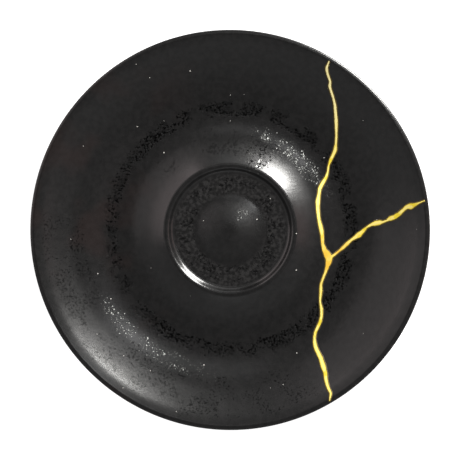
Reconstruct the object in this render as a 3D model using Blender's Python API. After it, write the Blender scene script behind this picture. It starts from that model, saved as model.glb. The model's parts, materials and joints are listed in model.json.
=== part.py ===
"""A glazed porcelain saucer, modelled as one turned solid.

The outline is drawn in the plane of radius and height, from the middle of the
upper side out to the lip and back along the underside, and is then spun round
the upright axis. Lengths are in metres, +Z is up, and the origin is on the
table under the saucer's centre.

From the centre outwards the upper side has a low dome, a flat floor that takes
the foot of a cup, a sloping wall up to a raised ring, a shallow trough, and a rim
that lifts to a lip, level on top with a tight outer edge. The underside stands on
a foot ring, and its middle is hollowed to follow the raised well above it.
"""

import math

import bmesh
import bpy

# Driving dimensions
RIM_RADIUS = 0.0750
RIM_RISE = 0.0075
RIM_BEND = 1.65
RIM_SHOULDER_ROUND = 0.0300
LIP_THICKNESS = 0.0022
LIP_INNER_ROUND = 0.0020
LIP_INNER_TILT = math.radians(15)
LIP_CROWN_ROUND = 0.0030
LIP_CROWN_TILT = math.radians(20)
LIP_EDGE_ROUND = 0.0005
TROUGH_RADIUS = 0.0439
BASE_THICKNESS = 0.0044

RING_RISE = 0.0047
RING_BEND = 2.0
RING_FLAT = 0.0002
RING_OUTER_ROUND = 0.0031
RING_INNER_ROUND = 0.0017

WELL_RADIUS = 0.0217
WELL_DEPTH = 0.00135
WELL_WALL_ANGLE = math.radians(37)
WELL_FILLET = 0.0026
WELL_THICKNESS = 0.0044

DOME_RADIUS = 0.0138
DOME_HEIGHT = 0.0021

FOOT_RADIUS = 0.0380
FOOT_WIDTH = 0.0034
FOOT_HEIGHT = 0.0042
FOOT_ROUND = 0.0009
FOOT_FILLET = 0.0014
RECESS_RADIUS = 0.0200

SEGMENTS = 64

# A tilt that no slope here reaches, for an arc that turns as far as it has to
STEEPEST = math.radians(90)

# Levels and radii that follow from them
TROUGH_Z = FOOT_HEIGHT + BASE_THICKNESS
RIM_Z = TROUGH_Z + RIM_RISE
RING_Z = TROUGH_Z + RING_RISE
WELL_FLOOR_Z = RING_Z - WELL_DEPTH
RECESS_Z = WELL_FLOOR_Z - WELL_THICKNESS

LIP_EDGE_RADIUS = RIM_RADIUS - LIP_EDGE_ROUND * (1 - math.sin(LIP_CROWN_TILT))
LIP_CROWN_RADIUS = LIP_EDGE_RADIUS - LIP_CROWN_ROUND * math.sin(LIP_CROWN_TILT)
LIP_EDGE_Z = RIM_Z - LIP_CROWN_ROUND * (1 - math.cos(LIP_CROWN_TILT))
LIP_SIDE_Z = LIP_EDGE_Z - LIP_EDGE_ROUND * math.cos(LIP_CROWN_TILT)
LIP_UNDER_ROUND = LIP_THICKNESS - (RIM_Z - LIP_SIDE_Z)
RING_INNER_RADIUS = WELL_RADIUS + WELL_DEPTH / math.tan(WELL_WALL_ANGLE)
RING_LEVEL_RADIUS = RING_INNER_RADIUS + RING_INNER_ROUND * math.tan(WELL_WALL_ANGLE / 2)
RING_OUTER_RADIUS = RING_LEVEL_RADIUS + RING_FLAT
FOOT_OUTER_RADIUS = FOOT_RADIUS + FOOT_WIDTH / 2
FOOT_INNER_RADIUS = FOOT_RADIUS - FOOT_WIDTH / 2


def arc(centre, radius, start, end, steps):
    """Points on a circle, from the angle start to the angle end, both included."""
    points = []
    for i in range(steps + 1):
        angle = start + (end - start) * i / steps
        points.append((centre[0] + radius * math.cos(angle), centre[1] + radius * math.sin(angle)))
    return points


def rounded(before, corner, after, radius, steps=3):
    """The corner between two straight runs, replaced by an arc that touches both."""
    run_in = math.hypot(before[0] - corner[0], before[1] - corner[1])
    run_out = math.hypot(after[0] - corner[0], after[1] - corner[1])
    back = ((before[0] - corner[0]) / run_in, (before[1] - corner[1]) / run_in)
    ahead = ((after[0] - corner[0]) / run_out, (after[1] - corner[1]) / run_out)
    half = math.acos(back[0] * ahead[0] + back[1] * ahead[1]) / 2
    # The arc takes less than half of each run, so that two neighbours never meet.
    touch = min(radius / math.tan(half), 0.49 * run_in, 0.49 * run_out)
    middle = (back[0] + ahead[0], back[1] + ahead[1])
    reach = touch / math.cos(half) / math.hypot(*middle)
    centre = (corner[0] + middle[0] * reach, corner[1] + middle[1] * reach)
    first = (corner[0] + back[0] * touch, corner[1] + back[1] * touch)
    last = (corner[0] + ahead[0] * touch, corner[1] + ahead[1] * touch)
    start = math.atan2(first[1] - centre[1], first[0] - centre[0])
    turn = math.atan2(last[1] - centre[1], last[0] - centre[0]) - start
    turn = (turn + math.pi) % (2 * math.pi) - math.pi
    return arc(centre, touch * math.tan(half), start, start + turn, steps)


def sweep(low, high, bend, steps):
    """From a level start at low to high, growing steeper all the way.

    The height goes as the distance to the power of bend.
    """
    points = []
    for i in range(steps + 1):
        share = i / steps
        radius = low[0] + (high[0] - low[0]) * share
        points.append((radius, low[1] + (high[1] - low[1]) * share**bend))
    return points


def flank(low, top, rounds, bend, steps):
    """A sweep up from low, turned level at top by one arc or more.

    rounds lists the arcs from the top down, each as its radius and the tilt where it
    ends. No arc tilts further than the sweep does.
    """
    side = math.copysign(1, top[0] - low[0])
    tilt = 0.0
    # The arcs take some of the run and the rise, and the tilt where the sweep meets
    # them depends on what is left, so the two are settled in turn.
    for _ in range(40):
        tilts = [0.0] + [min(end, tilt) for _, end in rounds]
        run = abs(top[0] - low[0])
        rise = top[1] - low[1]
        for (radius, _), near, far in zip(rounds, tilts, tilts[1:]):
            run -= radius * (math.sin(far) - math.sin(near))
            rise -= radius * (math.cos(near) - math.cos(far))
        tilt = math.atan(bend * rise / run)

    turned_level = [top]
    for (radius, _), near, far in zip(rounds, tilts, tilts[1:]):
        place = turned_level[0]
        centre = (place[0] + side * radius * math.sin(near), place[1] - radius * math.cos(near))
        turn = arc(centre, radius, math.pi / 2 + side * near, math.pi / 2 + side * far, 3)
        turned_level = turn[:0:-1] + turned_level
    return sweep(low, turned_level[0], bend, steps)[:-1] + turned_level


def dome():
    """The low dome, level on top, which runs out level on the well's floor."""
    points = []
    steps = 6
    for i in range(steps + 1):
        share = i / steps
        height = DOME_HEIGHT * (1 - share * share) ** 1.5
        points.append((DOME_RADIUS * share, WELL_FLOOR_Z + height))
    return points


def upper_side():
    """From the axis out to the level top of the lip."""
    moat = (DOME_RADIUS, WELL_FLOOR_Z)
    wall_foot = (WELL_RADIUS, WELL_FLOOR_Z)
    wall_top = (RING_INNER_RADIUS, RING_Z)
    ring_top = (RING_OUTER_RADIUS, RING_Z)
    over_trough = (TROUGH_RADIUS, RING_Z)
    trough = (TROUGH_RADIUS, TROUGH_Z)
    lip_top = (LIP_CROWN_RADIUS, RIM_Z)

    ring_rounds = [(RING_OUTER_ROUND, STEEPEST)]
    rim_rounds = [(LIP_INNER_ROUND, LIP_INNER_TILT), (RIM_SHOULDER_ROUND, STEEPEST)]

    points = dome()
    points += rounded(moat, wall_foot, wall_top, WELL_FILLET)
    points += rounded(wall_foot, wall_top, over_trough, RING_INNER_ROUND)
    points += flank(trough, ring_top, ring_rounds, RING_BEND, 7)[::-1]
    points += flank(trough, lip_top, rim_rounds, RIM_BEND, 8)[1:]
    return points


def lip_and_rim_underside():
    """Over the lip's edge, then in along the underside to the foot ring."""
    crown = (LIP_CROWN_RADIUS, RIM_Z - LIP_CROWN_ROUND)
    edge = (RIM_RADIUS - LIP_EDGE_ROUND, LIP_SIDE_Z)
    under = (RIM_RADIUS - LIP_UNDER_ROUND, LIP_SIDE_Z)
    root = (FOOT_OUTER_RADIUS + 2 * FOOT_FILLET, FOOT_HEIGHT)
    tilt = 0.0
    # The underside touches the lip at a point that depends on its own tilt there.
    for _ in range(30):
        leaving = (
            under[0] + LIP_UNDER_ROUND * math.sin(tilt),
            under[1] - LIP_UNDER_ROUND * math.cos(tilt),
        )
        tilt = math.atan(RIM_BEND * (leaving[1] - root[1]) / (leaving[0] - root[0]))
    crown_end = math.pi / 2 - LIP_CROWN_TILT
    points = arc(crown, LIP_CROWN_ROUND, math.pi / 2, crown_end, 2)[1:]
    points += arc(edge, LIP_EDGE_ROUND, crown_end, 0, 3)[1:]
    points += arc(under, LIP_UNDER_ROUND, 0, tilt - math.pi / 2, 3)[1:]
    return points + sweep(root, leaving, RIM_BEND, 6)[-2::-1]


def foot_and_recess():
    """Down and round the foot ring, then in to the axis under the well."""
    root = (FOOT_OUTER_RADIUS + 2 * FOOT_FILLET, FOOT_HEIGHT)
    outer_top = (FOOT_OUTER_RADIUS, FOOT_HEIGHT)
    outer_foot = (FOOT_OUTER_RADIUS, 0.0)
    inner_foot = (FOOT_INNER_RADIUS, 0.0)
    inner_top = (FOOT_INNER_RADIUS, FOOT_HEIGHT)
    slope_foot = (FOOT_INNER_RADIUS - 2 * FOOT_FILLET, FOOT_HEIGHT)

    points = rounded(root, outer_top, outer_foot, FOOT_FILLET)
    points += rounded(outer_top, outer_foot, inner_foot, FOOT_ROUND)
    points += rounded(outer_foot, inner_foot, inner_top, FOOT_ROUND)
    points += rounded(inner_foot, inner_top, slope_foot, FOOT_FILLET)
    # Two sweeps that meet halfway lead from the foot to the recess's level ceiling.
    halfway = ((slope_foot[0] + RECESS_RADIUS) / 2, (FOOT_HEIGHT + RECESS_Z) / 2)
    points += sweep(slope_foot, halfway, 2, 3)
    points += sweep((RECESS_RADIUS, RECESS_Z), halfway, 2, 3)[-2::-1]
    return points + [(0.0, RECESS_Z)]


def outline():
    """The whole outline, from the axis on the upper side to the axis below."""
    return upper_side() + lip_and_rim_underside() + foot_and_recess()


def turned(name, points, material):
    """Spins an outline round the Z axis into one closed solid."""
    shape = bmesh.new()
    corners = [shape.verts.new((radius, 0.0, height)) for radius, height in points]
    edges = [shape.edges.new(pair) for pair in zip(corners, corners[1:])]
    bmesh.ops.spin(
        shape,
        geom=corners + edges,
        cent=(0, 0, 0),
        axis=(0, 0, 1),
        angle=2 * math.pi,
        steps=SEGMENTS,
        use_merge=True,
    )
    # The outline's two ends lie on the axis, where every copy of them is one point.
    bmesh.ops.remove_doubles(shape, verts=shape.verts, dist=1e-6)
    bmesh.ops.recalc_face_normals(shape, faces=shape.faces)
    mesh = bpy.data.meshes.new(name)
    shape.to_mesh(mesh)
    shape.free()
    mesh.shade_smooth()
    mesh.set_sharp_from_angle(angle=math.radians(50))
    mesh.materials.append(material)
    solid = bpy.data.objects.new(name, mesh)
    bpy.context.scene.collection.objects.link(solid)
    return solid


def black_glaze():
    """A near-black satin glaze."""
    material = bpy.data.materials.new("black_glaze")
    material.use_nodes = True
    shader = material.node_tree.nodes["Principled BSDF"]
    shader.inputs["Base Color"].default_value = (0.012, 0.011, 0.011, 1)
    shader.inputs["Roughness"].default_value = 0.35
    shader.inputs["Metallic"].default_value = 0.0
    return material


def clear_scene():
    for thing in list(bpy.data.objects):
        bpy.data.objects.remove(thing, do_unlink=True)


clear_scene()
turned("saucer", outline(), black_glaze())
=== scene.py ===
# %% [markdown]
# # A black glazed saucer with a gold vein
#
# The saucer is one turned piece of stoneware. Its glaze is nearly black and satin,
# with fine pits and flecks where it has pooled, and a branching line of gold is
# fired on top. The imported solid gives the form. This script gives the finish: a
# finer mesh of the same form, the glaze, the gold, the table, the lights and the
# camera, which looks straight down.

# %% Load the solid that everything here fits
import json
import math

import bpy
import numpy as np
from mathutils import Matrix, Vector, noise

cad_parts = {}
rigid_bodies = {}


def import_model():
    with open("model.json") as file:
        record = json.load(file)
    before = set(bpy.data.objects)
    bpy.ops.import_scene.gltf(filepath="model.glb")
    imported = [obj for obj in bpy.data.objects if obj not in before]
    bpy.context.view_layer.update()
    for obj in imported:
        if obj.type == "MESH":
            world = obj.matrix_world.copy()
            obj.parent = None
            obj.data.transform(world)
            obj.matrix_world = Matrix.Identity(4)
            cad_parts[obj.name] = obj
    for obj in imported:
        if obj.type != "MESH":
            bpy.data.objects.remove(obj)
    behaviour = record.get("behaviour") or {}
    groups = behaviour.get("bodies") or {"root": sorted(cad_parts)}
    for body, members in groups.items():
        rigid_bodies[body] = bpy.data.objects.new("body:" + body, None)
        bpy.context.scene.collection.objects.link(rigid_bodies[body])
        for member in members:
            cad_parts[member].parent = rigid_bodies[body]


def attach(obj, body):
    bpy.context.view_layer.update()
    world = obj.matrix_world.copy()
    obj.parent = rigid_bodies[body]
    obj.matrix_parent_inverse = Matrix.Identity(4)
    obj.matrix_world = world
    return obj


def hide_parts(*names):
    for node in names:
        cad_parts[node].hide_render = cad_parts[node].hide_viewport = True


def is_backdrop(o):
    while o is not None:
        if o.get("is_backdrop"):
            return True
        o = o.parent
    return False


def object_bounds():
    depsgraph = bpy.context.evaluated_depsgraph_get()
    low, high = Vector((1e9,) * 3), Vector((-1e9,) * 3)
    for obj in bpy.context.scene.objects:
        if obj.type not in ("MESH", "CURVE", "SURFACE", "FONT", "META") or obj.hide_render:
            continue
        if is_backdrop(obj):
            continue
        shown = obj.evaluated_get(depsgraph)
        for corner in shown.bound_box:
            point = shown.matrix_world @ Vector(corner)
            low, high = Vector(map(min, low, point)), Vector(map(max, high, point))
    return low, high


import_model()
cad_low, cad_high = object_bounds()
MM = 0.001
# The gold film crosses the lip, so the lip leaves room for it under the solid's top.
FILM_ROOM = 0.09 * MM
RIM_RADIUS = cad_high.x
RIM_Z = cad_high.z - FILM_ROOM
print(f"solid: {2 * RIM_RADIUS / MM:.1f} mm across, {RIM_Z / MM:.1f} mm high")

# %% [markdown]
# ## The turned outline
#
# A potter shapes a saucer by holding a template against the spinning clay, so one
# outline says everything about its form. The solid was made the same way with few
# steps. Here its arcs and sweeps are drawn with many steps, because a satin glaze
# shows every facet as a break in its highlight. Only the raised ring's outer shoulder
# is turned a little tighter than the solid's, as the photograph shows it. Subdividing
# the coarse mesh would round the well's wall away, so the outline is drawn again.

# %% The sizes that the outline follows
RIM_RISE = 7.5 * MM
RIM_BEND = 1.65
LIP_THICKNESS = 2.2 * MM
LIP_INNER_ROUND = 2.0 * MM
LIP_INNER_TILT = math.radians(15)
LIP_CROWN_ROUND = 3.0 * MM
LIP_CROWN_TILT = math.radians(20)
LIP_EDGE_ROUND = 0.5 * MM
RIM_SHOULDER_ROUND = 30.0 * MM
TROUGH_RADIUS = 43.9 * MM

RING_RISE = 4.7 * MM
RING_BEND = 2.0
RING_FLAT = 0.2 * MM
RING_OUTER_ROUND = 2.5 * MM
RING_INNER_ROUND = 1.7 * MM

WELL_RADIUS = 21.7 * MM
WELL_DEPTH = 1.35 * MM
WELL_WALL_ANGLE = math.radians(37)
WELL_FILLET = 2.6 * MM
WELL_THICKNESS = 4.4 * MM

DOME_RADIUS = 13.8 * MM
DOME_HEIGHT = 2.1 * MM
DOME_BEND = 1.5

FOOT_RADIUS = 38.0 * MM
FOOT_WIDTH = 3.4 * MM
FOOT_HEIGHT = 4.2 * MM
FOOT_ROUND = 0.9 * MM
FOOT_FILLET = 1.4 * MM
RECESS_RADIUS = 20.0 * MM

TROUGH_Z = cad_high.z - RIM_RISE
RING_Z = TROUGH_Z + RING_RISE
WELL_FLOOR_Z = RING_Z - WELL_DEPTH
RECESS_Z = WELL_FLOOR_Z - WELL_THICKNESS
LIP_EDGE_RADIUS = RIM_RADIUS - LIP_EDGE_ROUND * (1 - math.sin(LIP_CROWN_TILT))
LIP_CROWN_RADIUS = LIP_EDGE_RADIUS - LIP_CROWN_ROUND * math.sin(LIP_CROWN_TILT)
LIP_EDGE_Z = RIM_Z - LIP_CROWN_ROUND * (1 - math.cos(LIP_CROWN_TILT))
LIP_SIDE_Z = LIP_EDGE_Z - LIP_EDGE_ROUND * math.cos(LIP_CROWN_TILT)
LIP_UNDER_ROUND = LIP_THICKNESS - (RIM_Z - LIP_SIDE_Z)
RING_INNER_RADIUS = WELL_RADIUS + WELL_DEPTH / math.tan(WELL_WALL_ANGLE)
RING_OUTER_RADIUS = RING_INNER_RADIUS + RING_INNER_ROUND * math.tan(WELL_WALL_ANGLE / 2) + RING_FLAT
FOOT_OUTER_RADIUS = FOOT_RADIUS + FOOT_WIDTH / 2
FOOT_INNER_RADIUS = FOOT_RADIUS - FOOT_WIDTH / 2
print(f"trough {TROUGH_Z / MM:.1f} mm up, ring {RING_Z / MM:.1f}, well floor {WELL_FLOOR_Z / MM:.1f}")

# %% Arcs, rounded corners and sweeps
SETTLE_ROUNDS = 40


def arc(centre, radius, start, end, steps):
    """Points on a circle from one angle to another, both included."""
    angles = np.linspace(start, end, steps + 1)
    return [(centre[0] + radius * math.cos(a), centre[1] + radius * math.sin(a)) for a in angles]


def rounded(before, corner, after, radius, steps):
    """The corner between two straight runs as an arc that touches both."""
    corner = Vector(corner)
    back = (Vector(before) - corner).normalized()
    ahead = (Vector(after) - corner).normalized()
    half = back.angle(ahead) / 2
    touch = radius / math.tan(half)
    centre = corner + (back + ahead).normalized() * (touch / math.cos(half))
    first = corner + back * touch - centre
    last = corner + ahead * touch - centre
    start = math.atan2(first.y, first.x)
    turn = (math.atan2(last.y, last.x) - start + math.pi) % (2 * math.pi) - math.pi
    return arc(centre, radius, start, start + turn, steps)


def sweep(low, high, bend, steps):
    """From a level start to high, growing steeper as a power of the distance."""
    shares = np.linspace(0, 1, steps + 1)
    run, rise = high[0] - low[0], high[1] - low[1]
    return [(low[0] + run * share, low[1] + rise * share**bend) for share in shares]


def flank(low, top, rounds, bend, steps):
    """A sweep up from low, turned level at top by arcs.

    rounds lists the arcs from the top down, each with its radius, the tilt it turns
    to and its steps. The last one turns as far as the sweep does.
    """
    side = math.copysign(1, top[0] - low[0])
    tilt = 0.0
    for _ in range(SETTLE_ROUNDS):
        ends = [0.0] + [min(end, tilt) for _, end, _ in rounds[:-1]] + [tilt]
        run = abs(top[0] - low[0])
        rise = top[1] - low[1]
        for (radius, _, _), near, far in zip(rounds, ends, ends[1:]):
            run -= radius * (math.sin(far) - math.sin(near))
            rise -= radius * (math.cos(near) - math.cos(far))
        tilt = math.atan(bend * rise / run)
    turns = []
    place = top
    for (radius, _, count), near, far in zip(rounds, ends, ends[1:]):
        centre = (place[0] + side * radius * math.sin(near), place[1] - radius * math.cos(near))
        turn = arc(centre, radius, math.pi / 2 + side * near, math.pi / 2 + side * far, count)
        place = turn[-1]
        turns = turn[:0:-1] + turns
    return sweep(low, place, bend, steps)[:-1] + turns + [top]


# %% The upper side, from the middle out to the lip
def upper_side():
    """The dome, the well, the raised ring, the trough and the rim."""
    moat = (DOME_RADIUS, WELL_FLOOR_Z)
    wall_foot = (WELL_RADIUS, WELL_FLOOR_Z)
    wall_top = (RING_INNER_RADIUS, RING_Z)
    ring_top = (RING_OUTER_RADIUS, RING_Z)
    trough = (TROUGH_RADIUS, TROUGH_Z)

    shares = np.linspace(0, 1, 30)
    dome = [DOME_HEIGHT * (1 - s * s) ** DOME_BEND for s in shares]
    points = [(DOME_RADIUS * s, WELL_FLOOR_Z + rise) for s, rise in zip(shares, dome)]
    fillet = rounded(moat, wall_foot, wall_top, WELL_FILLET, 8)
    points += sweep(moat, fillet[0], 1, 14)[1:]
    points += fillet[1:]
    points += rounded(wall_foot, wall_top, ring_top, RING_INNER_ROUND, 8)
    points += flank(trough, ring_top, [(RING_OUTER_ROUND, 0, 10)], RING_BEND, 40)[::-1]
    lip = [(LIP_INNER_ROUND, LIP_INNER_TILT, 8), (RIM_SHOULDER_ROUND, 0, 6)]
    points += flank(trough, (LIP_CROWN_RADIUS, RIM_Z), lip, RIM_BEND, 48)[1:]
    return points


upper = np.array(upper_side())
print(f"upper side: {len(upper)} points")


# %% The lip and the underside, back to the middle
def underside():
    """Over the lip's edge, in along the plain underside, round the foot and into the recess."""
    crown = (LIP_CROWN_RADIUS, RIM_Z - LIP_CROWN_ROUND)
    edge = (RIM_RADIUS - LIP_EDGE_ROUND, LIP_SIDE_Z)
    under = (RIM_RADIUS - LIP_UNDER_ROUND, LIP_SIDE_Z)
    outward = math.pi / 2 - LIP_CROWN_TILT
    root = (FOOT_OUTER_RADIUS + 2 * FOOT_FILLET, FOOT_HEIGHT)
    tilt = 0.0
    for _ in range(SETTLE_ROUNDS):
        across = under[0] + LIP_UNDER_ROUND * math.sin(tilt)
        leaving = (across, under[1] - LIP_UNDER_ROUND * math.cos(tilt))
        tilt = math.atan(RIM_BEND * (leaving[1] - root[1]) / (leaving[0] - root[0]))
    points = arc(crown, LIP_CROWN_ROUND, math.pi / 2, outward, 4)[1:]
    points += arc(edge, LIP_EDGE_ROUND, outward, 0, 6)[1:]
    points += arc(under, LIP_UNDER_ROUND, 0, tilt - math.pi / 2, 8)[1:]
    points += sweep(root, leaving, RIM_BEND, 24)[-2::-1]

    outer_top = (FOOT_OUTER_RADIUS, FOOT_HEIGHT)
    outer_foot = (FOOT_OUTER_RADIUS, 0.0)
    inner_foot = (FOOT_INNER_RADIUS, 0.0)
    inner_top = (FOOT_INNER_RADIUS, FOOT_HEIGHT)
    slope_foot = (FOOT_INNER_RADIUS - 2 * FOOT_FILLET, FOOT_HEIGHT)
    points += rounded(root, outer_top, outer_foot, FOOT_FILLET, 5)
    points += rounded(outer_top, outer_foot, inner_foot, FOOT_ROUND, 5)
    points += rounded(outer_foot, inner_foot, inner_top, FOOT_ROUND, 5)
    points += rounded(inner_foot, inner_top, slope_foot, FOOT_FILLET, 5)
    halfway = ((slope_foot[0] + RECESS_RADIUS) / 2, (FOOT_HEIGHT + RECESS_Z) / 2)
    points += sweep(slope_foot, halfway, 2, 5)
    points += sweep((RECESS_RADIUS, RECESS_Z), halfway, 2, 5)[-2::-1]
    points += sweep((RECESS_RADIUS, RECESS_Z), (0.0, RECESS_Z), 1, 6)[1:]
    return points


lower = np.array(underside())
print(f"lip and underside: {len(lower)} points")

# %% [markdown]
# ## The body
#
# The outline is spun into rings of points. The glaze surface isn't perfectly true:
# it is faintly wavy, so its highlights wander a little. The waves are moved into the
# mesh, so that they are real relief and not only a trick of the shading. A
# displacement texture would do the same, but moving the points in code keeps the gold
# able to follow exactly the same surface. The pits are too fine for the mesh and come
# later, in the glaze's own material.

# %% How high the glaze stands at any place
WAVE_HEIGHT = 0.012 * MM
WAVE_LENGTH = 9 * MM
WAVE_SEED = 3.1
CALM_BY_WELL = 3 * MM
CALM_FROM_RADIUS = 70 * MM
CALM_BEFORE_LIP = 6 * MM


def relief(x, y):
    """The glaze's faint waves, in metres, which die out at the well's edge and the lip."""
    radius = math.hypot(x, y)
    wave = noise.noise((x / WAVE_LENGTH, y / WAVE_LENGTH, WAVE_SEED))
    off_well = min(1.0, abs(radius - RING_INNER_RADIUS) / CALM_BY_WELL)
    off_lip = min(1.0, max(0.0, CALM_FROM_RADIUS - radius) / CALM_BEFORE_LIP)
    return WAVE_HEIGHT * wave * off_well * off_lip


def glaze_height(x, y):
    """The height of the upper surface over a place on the table."""
    return float(np.interp(math.hypot(x, y), upper[:, 0], upper[:, 1])) + relief(x, y)


print(f"relief at the trough: {relief(TROUGH_RADIUS, 0) / MM:.4f} mm")

# %% Spin the outline into rings of points
SEGMENTS = 360


def turned(name, rings, upper_count):
    """One closed mesh, with relief on the first upper_count rings."""
    angles = np.arange(SEGMENTS) * (2 * math.pi / SEGMENTS)
    points = [(0.0, 0.0, rings[0][1])]
    for i, (radius, height) in enumerate(rings[1:-1], start=1):
        for angle in angles:
            x, y = radius * math.cos(angle), radius * math.sin(angle)
            lift = relief(x, y) if i < upper_count else 0.0
            points.append((x, y, height + lift))
    points.append((0.0, 0.0, rings[-1][1]))

    faces = []
    for j in range(SEGMENTS):
        following = (j + 1) % SEGMENTS
        faces.append((0, 1 + j, 1 + following))
        for i in range(len(rings) - 3):
            inner = 1 + i * SEGMENTS
            outer = inner + SEGMENTS
            faces.append((inner + j, outer + j, outer + following, inner + following))
        last = 1 + (len(rings) - 3) * SEGMENTS
        faces.append((last + j, len(points) - 1, last + following))
    mesh = bpy.data.meshes.new(name)
    mesh.from_pydata(points, [], faces)
    mesh.shade_smooth()
    piece = bpy.data.objects.new(name, mesh)
    bpy.context.scene.collection.objects.link(piece)
    return piece


body = turned("saucer_body", np.vstack([upper, lower]), len(upper))
body.data.calc_loop_triangles()
print(f"body: {len(body.data.loop_triangles)} triangles")

# %% [markdown]
# ## Where the camera stood
#
# The photograph is taken from nearly straight above, a little from the saucer's right
# and from behind it. The rim's width and middle in the picture give the camera's aim
# and the size of a pixel on the saucer. They are worked out here already, because the
# gold line is placed through the same camera.

# %% Work the camera out from the rim in the picture
FRAME_PIXELS = 460
RIM_PIXELS = 200.29
CENTRE_PIXEL = (229.89, 230.07)
CAMERA_DISTANCE = 3.0
CAMERA_TILT = math.radians(3.8)
CAMERA_AZIMUTH = math.radians(26)

pixel = RIM_RADIUS / RIM_PIXELS
aim = Vector((
    (FRAME_PIXELS / 2 - CENTRE_PIXEL[0]) * pixel,
    (CENTRE_PIXEL[1] - FRAME_PIXELS / 2) * pixel,
    LIP_SIDE_Z,
))
back = Vector((
    math.sin(CAMERA_TILT) * math.cos(CAMERA_AZIMUTH),
    math.sin(CAMERA_TILT) * math.sin(CAMERA_AZIMUTH),
    math.cos(CAMERA_TILT),
))
right = Vector((0, 1, 0)).cross(back).normalized()
above = back.cross(right)
print(f"a pixel is {pixel / MM:.4f} mm at the lip")

# %% [markdown]
# ## The gold vein
#
# The gold is brushed on the fired glaze as a crack that runs the whole width of the
# saucer, with one branch to the rim, and is fired again at a low heat. It could be
# painted in the glaze's own material, but then its edge would be only as sharp as a
# texture. So each stroke is a strip of mesh, a film a few hundredths of a
# millimetre thick that follows the glaze and swells and thins as the brush did.
#
# A crack follows no formula, so a stroke is given by brush points at its bends and
# swells. They were picked on the photograph, beside a print of where the gold's middle
# lies and how wide it is, and the camera above takes them to the glaze.

# %% Brush points of the long stroke
LONG_POINTS = [
    # column and row in the photograph, and the width there in millimetres
    (328.6, 60.5, 0.3), (325.9, 68, 1.0), (327.2, 74, 0.9), (329.6, 81.5, 0.9),
    (329.1, 86.5, 1.0), (332.65, 98, 0.85), (334.4, 106, 1.05), (335.7, 122, 1.2),
    (335.7, 135, 0.9), (335.3, 144, 0.95), (334.4, 150, 1.35), (330.7, 158, 1.15),
    (328.0, 165, 0.7), (327.2, 170.5, 0.75), (325.7, 176.5, 1.05), (322.0, 183, 1.4),
    (319.2, 188.5, 1.3), (318.5, 194, 1.15), (317.3, 201, 1.5), (317.2, 208, 1.35),
    (318.2, 218.5, 1.15), (320.8, 229, 1.5), (321.8, 237, 1.2), (322.2, 243, 1.05),
    (323.9, 249.5, 1.6), (326.3, 253.8, 2.3), (328.2, 257.5, 2.9), (327.9, 261.5, 2.1),
    (326.6, 266, 1.35), (324.8, 272, 0.95), (320.5, 283.5, 0.85), (320.2, 290, 1.15),
    (319.6, 301, 0.75), (320.8, 308.5, 1.1), (320.8, 315.5, 1.05), (319.6, 321.5, 1.15),
    (315.0, 331.5, 1.05), (313.9, 338.5, 1.05), (315.2, 346.55, 1.45), (320.0, 357.5, 1.5),
    (322.4, 364.5, 1.8), (324.6, 372, 1.35), (325.5, 380, 1.3), (327.6, 387, 1.1),
    (330.0, 393, 0.9), (329.0, 400.5, 0.3),
]
print(f"long stroke: {len(LONG_POINTS)} brush points")

# %% Brush points of the branch
BRANCH_POINTS = [
    # column and row in the photograph, and the width there in millimetres
    (328, 257.5, 1.6), (333, 255, 1.0), (338.5, 250.7, 0.85), (342.5, 247.2, 1.2),
    (347, 243, 1.25), (351, 239.4, 1.05), (355, 236.7, 1.35), (358.5, 234.5, 1.8),
    (362.5, 230.8, 1.35), (366, 227.1, 0.85), (370, 224.5, 1.1), (375, 222.7, 1.7),
    (379, 222, 1.65), (382.5, 221.5, 0.95), (386, 220.2, 0.9), (390, 218, 1.6),
    (394.55, 216.3, 1.65), (399, 213, 1.45), (403, 209.2, 1.3), (406.5, 206.5, 1.55),
    (410, 205.7, 2.1), (413.95, 204.5, 1.35), (418.5, 202.5, 0.75), (424.5, 200, 0.3),
]
print(f"branch: {len(BRANCH_POINTS)} brush points")

# %% Take the brush points to the glaze
# The strokes were placed when the camera aimed this high, and they are kept there.
SIGHT_AIM_Z = 14.81 * MM
SIGHT_START_Z = 14 * MM
SIGHT_ROUNDS = 8
TIP_WIDTH = 0.35
BLOT_WIDTH = 2.5


def laid(points, usual, spread):
    """Brush points on the glaze, as across, up and width in millimetres.

    The line of sight through a point is followed down to the outline, and the place is
    rounded to a tenth of a millimetre. A width between a tip's and a blot's is moved
    further from the usual one, which makes the line livelier.
    """
    eye = Vector((aim.x, aim.y, SIGHT_AIM_Z)) + back * CAMERA_DISTANCE
    found = []
    for column, row, width in points:
        aside = (column + 0.5 - FRAME_PIXELS / 2) * pixel
        upwards = (FRAME_PIXELS / 2 - row - 0.5) * pixel
        sight = right * aside + above * upwards - back * CAMERA_DISTANCE
        height = SIGHT_START_Z
        for _ in range(SIGHT_ROUNDS):
            place = eye + sight * ((height - eye.z) / sight.z)
            height = float(np.interp(place.xy.length, upper[:, 0], upper[:, 1]))
        if TIP_WIDTH < width < BLOT_WIDTH:
            width = usual + (width - usual) * spread
        found.append((round(place.x / MM, 1), round(place.y / MM, 1), round(width, 2)))
    return found


LONG_STROKE = laid(LONG_POINTS, usual=1.1, spread=1.3)
BRANCH_STROKE = laid(BRANCH_POINTS, usual=1.25, spread=1.45)
JUNCTION = BRANCH_STROKE[0][:2]
print("the branch leaves the long stroke at", JUNCTION)


# %% A stroke through the brush points
SLACK = 0.3
SWELL = 0.88


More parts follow.
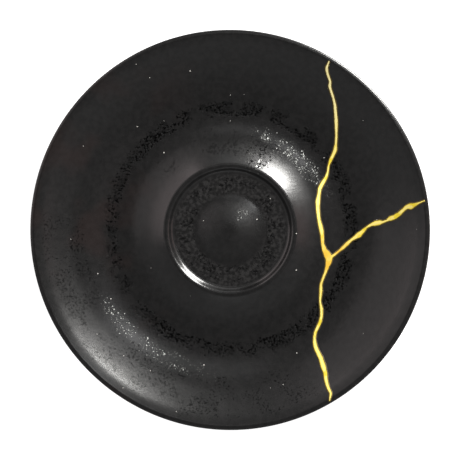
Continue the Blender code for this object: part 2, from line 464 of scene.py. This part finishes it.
def through(points, spacing):
    """A curve through the points, as rows of across, up and width in metres.

    Little slack keeps a kink at each point, as a brush leaves that changes direction.
    """
    rows = np.array(points) * MM
    rows = np.vstack([2 * rows[0] - rows[1], rows, 2 * rows[-1] - rows[-2]])
    found = []
    for a, b, c, d in zip(rows, rows[1:], rows[2:], rows[3:]):
        steps = max(2, round(float(np.hypot(*(c - b)[:2])) / spacing))
        for t in np.arange(steps) / steps:
            ease = t * t * (3 - 2 * t)
            leaving = t * (1 - t) ** 2 * (c - a)
            arriving = t * t * (1 - t) * (d - b)
            place = b + (c - b) * ease + SLACK * (leaving - arriving)
            place[2] = (b[2] + (c[2] - b[2]) * ease) * SWELL
            found.append(place)
    found.append(rows[-2])
    return np.array(found)


# %% Lay the film on the glaze
FILM = 0.08 * MM
SUNK = 0.03 * MM
EDGE = 0.45 * MM
CORE = 0.75
SPACING = 0.30 * MM
RAGGED = 0.14
RAGGED_ALONG = 0.23
RAGGED_ACROSS = 4
RAGGED_SEED = 5.5
SHARP_FOLD = math.radians(50)
# How far out a row of points lies, and its height as a share of the film's.
HALF_ACROSS = [(1.0, -0.3), (0.95, 0.35), (CORE, 0.6), (0.4, 0.93)]
ACROSS = [(-share, lift) for share, lift in HALF_ACROSS] + [(0.0, 1.0)] + HALF_ACROSS[::-1]


def gilded(name, strokes):
    """Closed strips of film, a domed top over a floor just inside the glaze.

    The bright core is as wide as the brush point says, and has a thin edge on each
    side. The UV map says how far across the stroke a place is, and how far along it.
    """
    points, faces, marks = [], [], []
    for stroke in strokes:
        line = through(stroke, SPACING)
        along = np.gradient(line[:, :2], axis=0)
        along /= np.hypot(*along.T)[:, None]
        first = len(points)
        for i, ((x, y, width), (ahead_x, ahead_y)) in enumerate(zip(line, along)):
            for share, lift in ACROSS:
                spot = (i * RAGGED_ALONG, share * RAGGED_ACROSS, RAGGED_SEED)
                ragged = 1 + RAGGED * noise.noise(spot)
                reach = width / 2 * max(-1.0, min(1.0, share / CORE)) * ragged
                reach += math.copysign(EDGE * max(0.0, abs(share) - CORE) / (1 - CORE), share)
                px, py = x - ahead_y * reach, y + ahead_x * reach
                points.append((px, py, glaze_height(px, py) + FILM * lift))
                marks.append((0.5 + 0.5 * share, i / len(line)))
            for share in (1.0, -1.0):
                reach = (width / 2 + EDGE) * share
                px, py = x - ahead_y * reach, y + ahead_x * reach
                points.append((px, py, glaze_height(px, py) - SUNK))
                marks.append((0.5 + 0.5 * share, i / len(line)))
        ring = len(ACROSS) + 2
        for i in range(len(line) - 1):
            for k in range(ring):
                here = first + i * ring
                after = (k + 1) % ring
                faces.append((here + k, here + after, here + ring + after, here + ring + k))
        faces.append(tuple(first + k for k in reversed(range(ring))))
        faces.append(tuple(len(points) - ring + k for k in range(ring)))
    mesh = bpy.data.meshes.new(name)
    mesh.from_pydata(points, [], faces)
    mesh.shade_smooth()
    mesh.set_sharp_from_angle(angle=SHARP_FOLD)
    layer = mesh.uv_layers.new(name="stroke")
    for loop in mesh.loops:
        layer.data[loop.index].uv = marks[loop.vertex_index]
    piece = bpy.data.objects.new(name, mesh)
    bpy.context.scene.collection.objects.link(piece)
    return piece


vein = gilded("gold_vein", [LONG_STROKE, BRANCH_STROKE])
print(f"gold vein: {len(vein.data.polygons)} faces")

# %% [markdown]
# ## Shared shader groups
#
# Three groups put out a mask or a height. Grain is noise of one size, which the glaze
# and the gold both have. Zone is a mask between two radii, because on a turned piece
# nearly everything that changes does so from the middle outwards. Flecks are ragged
# spots, which the glaze has in several sizes.


# %% Helpers for wiring nodes
def new_group(name, inputs, outputs):
    """An empty node group, with its input and output nodes."""
    group = bpy.data.node_groups.new(name, "ShaderNodeTree")
    for label, kind, value in inputs:
        socket = group.interface.new_socket(label, in_out="INPUT", socket_type=kind)
        if value is not None:
            socket.default_value = value
    for label, kind in outputs:
        group.interface.new_socket(label, in_out="OUTPUT", socket_type=kind)
    return group, group.nodes.new("NodeGroupInput"), group.nodes.new("NodeGroupOutput")


def add(tree, kind, settings=(), **inputs):
    """A node with its settings, and its inputs set to values or linked to outputs."""
    node = tree.nodes.new(kind)
    for key, value in dict(settings).items():
        setattr(node, key, value)
    for key, value in inputs.items():
        socket = node.inputs[int(key[2:])] if key.startswith("in") and key[2:].isdigit() else None
        socket = socket or node.inputs[key.replace("_", " ")]
        if isinstance(value, bpy.types.NodeSocket):
            tree.links.new(value, socket)
        else:
            socket.default_value = value
    return node


def maths(tree, operation, *values, clamp=False):
    """A Math node's output."""
    node = tree.nodes.new("ShaderNodeMath")
    node.operation = operation
    node.use_clamp = clamp
    for socket, value in zip(node.inputs, values):
        if isinstance(value, bpy.types.NodeSocket):
            tree.links.new(value, socket)
        else:
            socket.default_value = value
    return node.outputs[0]


# %% Grain: fine bumps of one size
grain_group, entry, leave = new_group(
    "fine_grain",
    [
        ("Vector", "NodeSocketVector", None),
        ("Size", "NodeSocketFloat", 0.001),
        ("Detail", "NodeSocketFloat", 2.0),
    ],
    [("Height", "NodeSocketFloat")],
)
scale = maths(grain_group, "DIVIDE", 1.0, entry.outputs["Size"])
texture = add(grain_group, "ShaderNodeTexNoise", Vector=entry.outputs["Vector"], Scale=scale)
grain_group.links.new(entry.outputs["Detail"], texture.inputs["Detail"])
grain_group.links.new(texture.outputs["Fac"], leave.inputs["Height"])

# %% Zone: a soft band between two radii
zone_group, entry, leave = new_group(
    "turned_zone",
    [
        ("Radius", "NodeSocketFloat", 0.0),
        ("From", "NodeSocketFloat", 0.0),
        ("To", "NodeSocketFloat", 1.0),
        ("Edge", "NodeSocketFloat", 0.001),
    ],
    [("Mask", "NodeSocketFloat")],
)


def eased(tree, value, low, high):
    """0 below low, 1 above high, smooth between."""
    node = add(tree, "ShaderNodeMapRange", {"interpolation_type": "SMOOTHSTEP"}, Value=value)
    for key, limit in (("From Min", low), ("From Max", high)):
        if isinstance(limit, bpy.types.NodeSocket):
            tree.links.new(limit, node.inputs[key])
        else:
            node.inputs[key].default_value = limit
    return node.outputs["Result"]


radius, start = entry.outputs["Radius"], entry.outputs["From"]
end, edge = entry.outputs["To"], entry.outputs["Edge"]
rise = eased(zone_group, radius, start, maths(zone_group, "ADD", start, edge))
fall = eased(zone_group, radius, maths(zone_group, "SUBTRACT", end, edge), end)
inside = maths(zone_group, "SUBTRACT", rise, fall, clamp=True)
zone_group.links.new(inside, leave.inputs["Mask"])


# %% Flecks: ragged spots of one size, thicker where the density is higher
BARE_CUT = 0.78
FULL_DROP = 0.30
FLECK_EDGE = 0.05

fleck_group, entry, leave = new_group(
    "ragged_flecks",
    [
        ("Vector", "NodeSocketVector", None),
        ("Size", "NodeSocketFloat", 0.001),
        ("Density", "NodeSocketFloat", 0.5),
    ],
    [("Mask", "NodeSocketFloat")],
)
scale = maths(fleck_group, "DIVIDE", 1.0, entry.outputs["Size"])
spots = entry.outputs["Vector"]
texture = add(fleck_group, "ShaderNodeTexNoise", Vector=spots, Scale=scale, Detail=3.0)
texture.inputs["Roughness"].default_value = 0.6
cut = maths(fleck_group, "MULTIPLY_ADD", entry.outputs["Density"], -FULL_DROP, BARE_CUT)
full = maths(fleck_group, "ADD", cut, FLECK_EDGE)
mask = eased(fleck_group, texture.outputs["Fac"], cut, full)
fleck_group.links.new(mask, leave.inputs["Mask"])


# %% Put a group in a material
def placed(tree, group, **inputs):
    """A copy of a node group with its own values."""
    node = tree.nodes.new("ShaderNodeGroup")
    node.node_tree = group
    for key, value in inputs.items():
        if isinstance(value, bpy.types.NodeSocket):
            tree.links.new(value, node.inputs[key])
        else:
            node.inputs[key].default_value = value
    return node.outputs[0]


def painted(tree, under, over, share):
    """One colour over another, by a mask."""
    return add(tree, "ShaderNodeMix", {"data_type": "RGBA"}, in0=share, in6=under, in7=over).outputs[2]


def new_material(name):
    """An empty material with its Principled BSDF."""
    material = bpy.data.materials.new(name)
    material.use_nodes = True
    return material, material.node_tree, material.node_tree.nodes["Principled BSDF"]


# %% [markdown]
# ## The glaze
#
# The glaze is almost black with a satin skin, so nearly all that is seen of it is the
# reflection of the lights. Gas escaped through it in the kiln and left small open
# pits, most of them in the trough and the well, where it pooled, and on the side of
# the rim that faced the flame. A pit is painted black as the shade in its hollow, and
# it is made a metal that mirrors next to nothing. Iron crystals float on the skin at
# the foot of the ring and of the rim. Each lies at its own small tilt, so a few mirror
# a lamp and the rest stay dark. A rough patch lies beside the main highlight, and a
# small glint near the dome's crown. The foot ring is wiped clean before the firing
# and shows bare clay.
#
# A colour map could hold all of this, but it would stretch on the slopes and would
# not glitter. So every effect is worked out from the place on the saucer, and the
# crystals turn the surface normal, which makes the glitter move with the lamps.

# %% Start the glaze and find each place's radius
glaze, tree, shader = new_material("satin_black_glaze")
where = tree.nodes.new("ShaderNodeTexCoord").outputs["Object"]
axes = add(tree, "ShaderNodeSeparateXYZ", Vector=where)
across, up, height = axes.outputs
squared = maths(tree, "ADD", maths(tree, "POWER", across, 2.0), maths(tree, "POWER", up, 2.0))
radius = maths(tree, "SQRT", squared)


def zone(start, end, edge):
    """A band between two radii in millimetres."""
    return placed(tree, zone_group, Radius=radius, From=start * MM, To=end * MM, Edge=edge * MM)


def grain(size, detail):
    """Noise with features of a size in millimetres."""
    return placed(tree, grain_group, Vector=where, Size=size * MM, Detail=detail)


def flecks(size, density):
    """Ragged flecks of a size in millimetres."""
    return placed(tree, fleck_group, Vector=where, Size=size * MM, Density=density)


def clumps(size, none, full):
    """Patches of a size in millimetres, from none to full over two levels of noise."""
    return eased(tree, grain(size, 2), none, full)


def ramp(distance, none, full):
    """0 at one distance in millimetres and 1 at the other, smooth between."""
    return eased(tree, distance, none * MM, full * MM)


def near(spot, none, full):
    """A soft round patch about a spot: nothing this far away, and all within that."""
    apart = add(tree, "ShaderNodeVectorMath", {"operation": "DISTANCE"}, in0=where, in1=spot)
    return ramp(apart.outputs["Value"], none, full)


def times(first, second):
    """One mask or value times another."""
    return maths(tree, "MULTIPLY", first, second)


# %% The side that faced the flame, where the glaze is thinner
FLAME = math.radians(235)
toward = times(across, math.cos(FLAME))
toward = maths(tree, "MULTIPLY_ADD", up, math.sin(FLAME), toward)

# %% The upper side, which alone has pits and flakes
WALL_FACING = 0.55
FLOOR_FACING = 0.75
true_normal = tree.nodes.new("ShaderNodeNewGeometry").outputs["Normal"]
facing = add(tree, "ShaderNodeSeparateXYZ", Vector=true_normal).outputs[2]
upward = eased(tree, facing, WALL_FACING, FLOOR_FACING)

# %% Where open pits crowd: in the trough and the well, and thinly on the rim and the ring
# A band is its inner radius, its outer radius and its soft edge, in millimetres.
TROUGH_BAND = (39.5, 51.0, 4.5)
WELL_BAND = (11.5, 22.0, 3.5)
RIM_BAND = (52.0, 73.5, 4.0)
MOUND_BAND = (25.0, 41.0, 5.0)
QUIET_SHARE = 0.12
RIM_LEAST = 0.46
RIM_MORE = 0.36
ROUGH_PATCH = (11 * MM, 28 * MM, RING_Z)
PATCH_DENSITY = 0.80

trough_clumps = times(zone(*TROUGH_BAND), clumps(6, none=0.29, full=0.50))
quiet = times(ramp(across, none=-28, full=-40), QUIET_SHARE)
trough_clumps = times(trough_clumps, maths(tree, "SUBTRACT", 1.0, quiet))
well_clumps = times(zone(*WELL_BAND), clumps(4, none=0.33, full=0.62))
rim_clumps = clumps(8, none=0.40, full=0.60)
rim_clumps = maths(tree, "MULTIPLY_ADD", rim_clumps, RIM_MORE, RIM_LEAST)
rim_clumps = times(rim_clumps, ramp(toward, none=8, full=42))
rim_clumps = times(rim_clumps, zone(*RIM_BAND))
mound_clumps = times(zone(*MOUND_BAND), ramp(up, none=5, full=25))
mound_clumps = times(mound_clumps, clumps(8, none=0.42, full=0.60))
patch = near(ROUGH_PATCH, none=9, full=4)
patch_clumps = times(patch, PATCH_DENSITY)


# %% Open pits, painted dark as the shade in their hollows, each kind with its size in millimetres and its strength
def pitted(size, density, strength):
    """Pits of one size, painted dark as shade to a share of full strength."""
    return times(flecks(size, density), strength)


trough_pits = pitted(0.8, trough_clumps, strength=0.84)
well_pits = pitted(1.0, well_clumps, strength=0.52)
pit_shade_mask = maths(tree, "MAXIMUM", trough_pits, well_pits)
rim_pits = pitted(0.75, rim_clumps, strength=0.62)
mound_pits = pitted(1.1, mound_clumps, strength=0.35)
patch_pits = pitted(1.2, patch_clumps, strength=0.95)
broad_pit_shade = pitted(2.6, trough_clumps, strength=0.25)
for more in (rim_pits, mound_pits, patch_pits, broad_pit_shade):
    pit_shade_mask = maths(tree, "MAXIMUM", pit_shade_mask, more)
pit_shade_mask = times(pit_shade_mask, upward)

# %% Where flakes lie: at the foot of the ring, at the foot of the rim and in two spots
MOUND_FOOT_BAND = (32.0, 41.5, 4.0)
RIM_FOOT_BAND = (49.5, 58.0, 3.8)
RIM_FOOT_SHARE = 0.42
PATCH_SHARE = 0.12
CROWN_GLINT = (5 * MM, 5.5 * MM, WELL_FLOOR_Z + DOME_HEIGHT / 2)
GLINT_SHARE = 0.45

lee_side = times(ramp(toward, none=-29, full=-36), ramp(across, none=6, full=14))
mound_foot = times(zone(*MOUND_FOOT_BAND), lee_side)
rim_foot = times(zone(*RIM_FOOT_BAND), ramp(toward, none=46, full=52))
flaky = maths(tree, "MULTIPLY_ADD", rim_foot, RIM_FOOT_SHARE, mound_foot)
flaky = maths(tree, "MAXIMUM", flaky, times(patch, PATCH_SHARE))
flaky = maths(tree, "MAXIMUM", flaky, times(near(CROWN_GLINT, none=3.5, full=1), GLINT_SHARE))
flaky = times(flaky, eased(tree, grain(3, 3), 0.38, 0.58))

# %% Cut the skin into flakes and draw a few of them
FLAKE_SIZE = 0.32 * MM
WANDER_SIZE = 0.9 * MM
WANDER_REACH = 0.4 * MM
MOST_DRAWN = 0.50

wander = add(tree, "ShaderNodeTexNoise", Vector=where, Scale=1 / WANDER_SIZE, Detail=2.0)
shift = add(tree, "ShaderNodeVectorMath", {"operation": "SCALE"}, in0=wander.outputs["Color"])
shift.inputs["Scale"].default_value = WANDER_REACH
ragged = add(tree, "ShaderNodeVectorMath", {"operation": "ADD"}, in0=where, in1=shift.outputs[0])
facets = add(tree, "ShaderNodeTexVoronoi", Vector=ragged.outputs[0], Scale=1 / FLAKE_SIZE)
draw = facets.outputs["Color"]
lot = add(tree, "ShaderNodeSeparateXYZ", Vector=draw).outputs[2]
flaky = times(flaky, upward)
drawn = maths(tree, "MULTIPLY_ADD", flaky, MOST_DRAWN, lot)
flakes = maths(tree, "GREATER_THAN", drawn, 1.0)

# %% Lean each flake its own way, so that it glitters where a lamp is reflected
MIDDLE_DRAW = (0.5, 0.5, 0.5)
FLAKE_LEAN = 0.12
LEAST_LEAN = 0.003
FLAKY_LEAN = 0.03
DOME_LEAN = 0.05
DOME_LEAN_BAND = (-1.0, 14.0, 4.0)

centred = add(tree, "ShaderNodeVectorMath", {"operation": "SUBTRACT"}, in0=draw, in1=MIDDLE_DRAW)
tilted = add(tree, "ShaderNodeVectorMath", {"operation": "SCALE"}, in0=centred.outputs[0])
lean = maths(tree, "MULTIPLY_ADD", flaky, FLAKY_LEAN, LEAST_LEAN)
lean = maths(tree, "MULTIPLY_ADD", zone(*DOME_LEAN_BAND), DOME_LEAN, lean)
lean = maths(tree, "MULTIPLY_ADD", flakes, FLAKE_LEAN, lean)
tree.links.new(lean, tilted.inputs["Scale"])
leaning = add(tree, "ShaderNodeVectorMath", {"operation": "ADD"}, in0=true_normal)
tree.links.new(tilted.outputs[0], leaning.inputs[1])
leaning = add(tree, "ShaderNodeVectorMath", {"operation": "NORMALIZE"}, in0=leaning.outputs[0])

# %% Pits are sunk and the skin swells faintly
SKIN_DEPTH = 0.10 * MM
SWELL_SHARE = 0.15
PIT_SHARE = 0.15
skin = times(grain(1.2, 2), SWELL_SHARE)
sunk = maths(tree, "MAXIMUM", trough_pits, well_pits)
skin = maths(tree, "MULTIPLY_ADD", sunk, -PIT_SHARE, skin)
bump = add(tree, "ShaderNodeBump", Strength=1.0, Distance=SKIN_DEPTH, Height=skin)
tree.links.new(leaning.outputs[0], bump.inputs["Normal"])
tree.links.new(bump.outputs["Normal"], shader.inputs["Normal"])

# %% Pale specks, a few millimetres apart at most
SPECK_SPACING = 5 * MM
SPECK_LOT = 0.945
SPECK_LEAST = 0.017
SPECK_MORE = 0.030
flat_cells = {"voronoi_dimensions": "2D"}
cells = add(tree, "ShaderNodeTexVoronoi", flat_cells, Vector=where, Scale=1 / SPECK_SPACING)
chance = add(tree, "ShaderNodeSeparateXYZ", Vector=cells.outputs["Color"])
chosen = maths(tree, "GREATER_THAN", chance.outputs[0], SPECK_LOT)
reach = maths(tree, "MULTIPLY_ADD", chance.outputs[1], SPECK_MORE, SPECK_LEAST)
specks = times(chosen, maths(tree, "LESS_THAN", cells.outputs["Distance"], reach))

# %% Bare clay under the foot ring
bare = maths(tree, "SUBTRACT", 1.0, ramp(height, none=0.30, full=0.45))

# %% Colours
CLOUD_DARK = (0.0022, 0.0021, 0.0021, 1)
CLOUD_LIGHT = (0.0046, 0.0044, 0.0044, 1)
WELL_PALE = (0.0120, 0.0116, 0.0116, 1)
BROWN_TINT = (0.0120, 0.0050, 0.0040, 1)
# The pits' near black is painted shade, which stands for their shaded hollows.
PIT_SHADE = (0.0012, 0.0012, 0.0012, 1)
FLAKE = (0.19, 0.19, 0.18, 1)
SPECK = (0.33, 0.32, 0.30, 1)
CLAY = (0.11, 0.085, 0.07, 1)
PALE_BAND = (12.6, 22.0, 2.0)
BROWN_TINT_SHARE = 0.30

clouds = eased(tree, grain(2.0, 4), 0.30, 0.70)
colour = painted(tree, CLOUD_DARK, CLOUD_LIGHT, clouds)
speckled = times(zone(*PALE_BAND), eased(tree, grain(1.3, 3), 0.40, 0.65))
colour = painted(tree, colour, WELL_PALE, speckled)
# A faint brown tint in large patches, stronger towards the left.
brown_tint = times(clumps(20, none=0.50, full=0.70), ramp(across, none=-5, full=-50))
colour = painted(tree, colour, BROWN_TINT, times(brown_tint, BROWN_TINT_SHARE))
# Painted shade: the pits are coloured near black, as their hollows would lie in shadow.
colour = painted(tree, colour, PIT_SHADE, pit_shade_mask)
colour = painted(tree, colour, FLAKE, flakes)
colour = painted(tree, colour, SPECK, specks)
colour = painted(tree, colour, CLAY, bare)
tree.links.new(colour, shader.inputs["Base Color"])

# %% Metal: the pits, so that their painted shade mirrors next to nothing, and the flakes
covered = maths(tree, "SUBTRACT", 1.0, maths(tree, "MAXIMUM", specks, bare))
metal = maths(tree, "MAXIMUM", times(pit_shade_mask, covered), flakes)
tree.links.new(metal, shader.inputs["Metallic"])

# %% Roughness: satin, with polished flakes, duller clay and specks, and softer bands
SATIN = 0.165
SATIN_CLOUDS = 0.06
FLAKE_POLISH = 0.07
CLAY_DULL = 0.65
SPECK_DULL = 0.3
SOFT_BANDS = [((58.0, 72.0, 4.0), 0.040), ((23.0, 35.0, 4.0), 0.06), ((-1.0, 13.0, 5.0), 0.09)]

dull = maths(tree, "MAXIMUM", times(bare, CLAY_DULL), times(specks, SPECK_DULL))
satin = maths(tree, "MULTIPLY_ADD", grain(5, 3), SATIN_CLOUDS, SATIN)
satin = maths(tree, "MULTIPLY_ADD", flakes, -FLAKE_POLISH, satin)
for band, softer in SOFT_BANDS:
    satin = maths(tree, "MULTIPLY_ADD", zone(*band), softer, satin)
tree.links.new(maths(tree, "ADD", satin, dull), shader.inputs["Roughness"])
shader.inputs["IOR"].default_value = 1.5
body.data.materials.append(glaze)
print("glaze:", len(tree.nodes), "nodes")

# %% [markdown]
# ## The gold
#
# Fired gold on a satin glaze is a metal, but a soft one: it spreads the light of the
# whole room, so it looks evenly bright. A paler middle is painted along each stroke
# as its highlight.

# %% Build the fired gold
gold, tree, shader = new_material("fired_gold")
where = tree.nodes.new("ShaderNodeTexCoord").outputs["Object"]
stroke = add(tree, "ShaderNodeUVMap", {"uv_map": "stroke"})
side = add(tree, "ShaderNodeSeparateXYZ", Vector=stroke.outputs["UV"]).outputs[0]
off_centre = maths(tree, "ABSOLUTE", maths(tree, "MULTIPLY_ADD", side, 2.0, -1.0))

CREAM_AND_HIGHLIGHT = (0.72, 0.64, 0.30, 1)
YELLOW = (0.52, 0.40, 0.018, 1)
ORANGE = (0.50, 0.30, 0.022, 1)
THIN = (0.055, 0.035, 0.002, 1)
TONE_SIZE = 4 * MM
OFF_HIGHLIGHT_SHARE = 0.9
LEAST_RICH = 0.55

# %% Orange about the junction, cream where the line runs out at the top, and a painted highlight of cream along the middle
junction = (JUNCTION[0] * MM, JUNCTION[1] * MM, TROUGH_Z)
apart = add(tree, "ShaderNodeVectorMath", {"operation": "DISTANCE"}, in0=where, in1=junction)
deep = maths(tree, "SUBTRACT", 1.0, ramp(apart.outputs["Value"], none=2, full=16))
tone = placed(tree, grain_group, Vector=where, Size=TONE_SIZE, Detail=2.0)
deep = times(deep, eased(tree, tone, 0.25, 0.60))
# Painted highlight: the middle of the stroke stays cream, as if lit, and its sides turn yellow.
off_highlight = times(eased(tree, off_centre, 0.05, 0.60), OFF_HIGHLIGHT_SHARE)
rich = maths(tree, "MAXIMUM", off_highlight, eased(tree, tone, 0.45, 0.62))
along = add(tree, "ShaderNodeSeparateXYZ", Vector=where).outputs[1]
rich = maths(tree, "MAXIMUM", rich, LEAST_RICH)
rich = times(rich, ramp(along, none=55, full=25))
colour = painted(tree, CREAM_AND_HIGHLIGHT, YELLOW, rich)
colour = painted(tree, colour, ORANGE, deep)

# %% A thin dark edge, and the brush's own fine marks
EDGE_STARTS = CORE - 0.05
EDGE_FULL = CORE + 0.03
MARK_SIZE = 0.5 * MM
MARK_DEPTH = 0.03 * MM
colour = painted(tree, colour, THIN, eased(tree, off_centre, EDGE_STARTS, EDGE_FULL))
tree.links.new(colour, shader.inputs["Base Color"])
marks = placed(tree, grain_group, Vector=where, Size=MARK_SIZE, Detail=2.0)
bump = add(tree, "ShaderNodeBump", Strength=0.3, Distance=MARK_DEPTH, Height=marks)
tree.links.new(bump.outputs["Normal"], shader.inputs["Normal"])
shader.inputs["Metallic"].default_value = 0.3
shader.inputs["Roughness"].default_value = 0.5
vein.data.materials.append(gold)
print("gold:", len(tree.nodes), "nodes")

# %% Hang the pieces on the frame
for piece, slot in ((body, "glaze"), (vein, "gold")):
    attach(piece, "root")
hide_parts("saucer")

# %% [markdown]
# ## The table and the lights
#
# The saucer lies on a white light table, which is why it throws almost no shadow.

# %% Lay the table
FLOOR_HALF = 4.0
FLOOR_GAP = 0.05 * MM
floor_mesh = bpy.data.meshes.new("studio_floor")
corners = [(x * FLOOR_HALF, y * FLOOR_HALF, 0) for x, y in ((-1, -1), (1, -1), (1, 1), (-1, 1))]
floor_mesh.from_pydata(corners, [], [(0, 1, 2, 3)])
floor = bpy.data.objects.new("studio_floor", floor_mesh)
bpy.context.scene.collection.objects.link(floor)
floor.location.z = -FLOOR_GAP
white, tree, shader = new_material("lit_white_table")
rays = tree.nodes.new("ShaderNodeLightPath")
shader.inputs["Base Color"].default_value = (0.25, 0.25, 0.25, 1)
shader.inputs["Roughness"].default_value = 0.8
shader.inputs["Emission Color"].default_value = (1, 1, 1, 1)
tree.links.new(rays.outputs["Is Camera Ray"], shader.inputs["Emission Strength"])
floor_mesh.materials.append(white)
floor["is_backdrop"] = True

# %% Hang the lamps
def softbox(name, azimuth, zenith, distance, width, height, radiance, colour):
    """A rectangular lamp that faces the saucer, at a direction seen from it.

    The azimuth and the zenith angle are in degrees, and the lengths in metres.
    """
    a, z = math.radians(azimuth), math.radians(zenith)
    away = Vector((math.cos(a) * math.sin(z), math.sin(a) * math.sin(z), math.cos(z)))
    data = bpy.data.lights.new(name, "AREA")
    data.shape = "RECTANGLE"
    data.size, data.size_y = width, height
    data.energy = math.pi * width * height * radiance
    data.color = colour
    lamp = bpy.data.objects.new(name, data)
    bpy.context.scene.collection.objects.link(lamp)
    lamp.location = away * distance
    lamp.rotation_euler = away.to_track_quat("Z", "Y").to_euler()
    lamp.visible_camera = False
    return lamp


softbox("key_softbox", 51, 53.3, 2.0, 0.62, 0.93, 67, (1, 0.99, 0.96))
softbox("upper_softbox", 51, 18.5, 2.0, 0.22, 0.20, 6.8, (1, 1, 1))
softbox("fill_softbox", 48, 30.0, 2.0, 0.30, 0.40, 1.5, (1, 1, 1))
softbox("left_panel", 155, 55.5, 2.0, 2.0, 0.88, 1.33, (1.0, 0.84, 0.84))
softbox("left_strip", 128, 50, 1.9, 0.25, 0.7, 1.2, (1.0, 0.887, 0.877))
softbox("left_low", 155, 32, 2.1, 1.3, 0.6, 0.45, (1.0, 0.9, 0.9))
softbox("back_panel", 88, 57, 2.0, 1.0, 0.7, 0.85, (1.0, 1.0, 1.0))
softbox("back_low", 84, 17.5, 2.1, 0.7, 0.32, 0.60, (1.0, 1.0, 1.0))
softbox("right_panel", 3, 50, 2.0, 0.9, 0.8, 0.68, (1.0, 0.62, 0.60))
softbox("right_low", 340, 12, 2.1, 0.7, 0.45, 0.15, (1.0, 0.9, 0.9))
softbox("front_panel", 268, 59, 2.0, 1.3, 0.5, 0.45, (1.0, 1.0, 1.0))

# %% Grey the room: dimmer straight overhead and dimmer again near the table
HIGH_STARTS = 0.74
HIGH_FULL = 0.97
SIDE_GREY = 0.42
OVERHEAD_GREY = 0.20
LOW_FULL = 0.34
LOW_STARTS = 0.52
LOW_SHARE = 0.25

world = bpy.data.worlds.new("studio")
bpy.context.scene.world = world
world.use_nodes = True
tree = world.node_tree
dim = tree.nodes["Background"]
dim.inputs["Color"].default_value = (1, 1, 1, 1)
around = tree.nodes.new("ShaderNodeTexCoord").outputs["Generated"]
skyward = add(tree, "ShaderNodeSeparateXYZ", Vector=around).outputs["Z"]


def graded(value, start, end, at_start, at_end):
    """One level at start and another at end, smooth between."""
    node = add(tree, "ShaderNodeMapRange", {"interpolation_type": "SMOOTHSTEP"}, Value=value)
    node.inputs["From Min"].default_value = start
    node.inputs["From Max"].default_value = end
    node.inputs["To Min"].default_value = at_start
    node.inputs["To Max"].default_value = at_end
    return node.outputs["Result"]


grey = graded(skyward, HIGH_STARTS, HIGH_FULL, SIDE_GREY, OVERHEAD_GREY)
low = graded(skyward, LOW_FULL, LOW_STARTS, LOW_SHARE, 1.0)
tree.links.new(maths(tree, "MULTIPLY", grey, low), dim.inputs["Strength"])

# %% Show the camera plain white past the table
seen = add(tree, "ShaderNodeBackground", Color=(1, 1, 1, 1), Strength=1.0)
rays = tree.nodes.new("ShaderNodeLightPath")
mixed = add(tree, "ShaderNodeMixShader", in0=rays.outputs["Is Camera Ray"])
tree.links.new(dim.outputs[0], mixed.inputs[1])
tree.links.new(seen.outputs[0], mixed.inputs[2])
tree.links.new(mixed.outputs[0], tree.nodes["World Output"].inputs["Surface"])
bpy.context.scene.view_settings.view_transform = "Standard"
print("lamps:", len(bpy.data.lights))

# %% [markdown]
# ## The camera
#
# The camera is set where the picture says that it stood: above the saucer, a little
# to its right and behind it.

# %% Place the camera
turn = Matrix((right, above, back)).transposed().to_4x4()
data = bpy.data.cameras.new("camera")
data.lens = data.sensor_width / 2 * CAMERA_DISTANCE / (FRAME_PIXELS / 2 * pixel)
camera = bpy.data.objects.new("camera", data)
bpy.context.scene.collection.objects.link(camera)
camera.matrix_world = Matrix.Translation(aim + back * CAMERA_DISTANCE) @ turn
bpy.context.scene.camera = camera
print(f"camera: {data.lens:.0f} mm lens, {CAMERA_DISTANCE} m away")

# %% Print the visual box
low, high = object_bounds()
print("visual box", [round(v / MM, 3) for v in (*low, *high)])
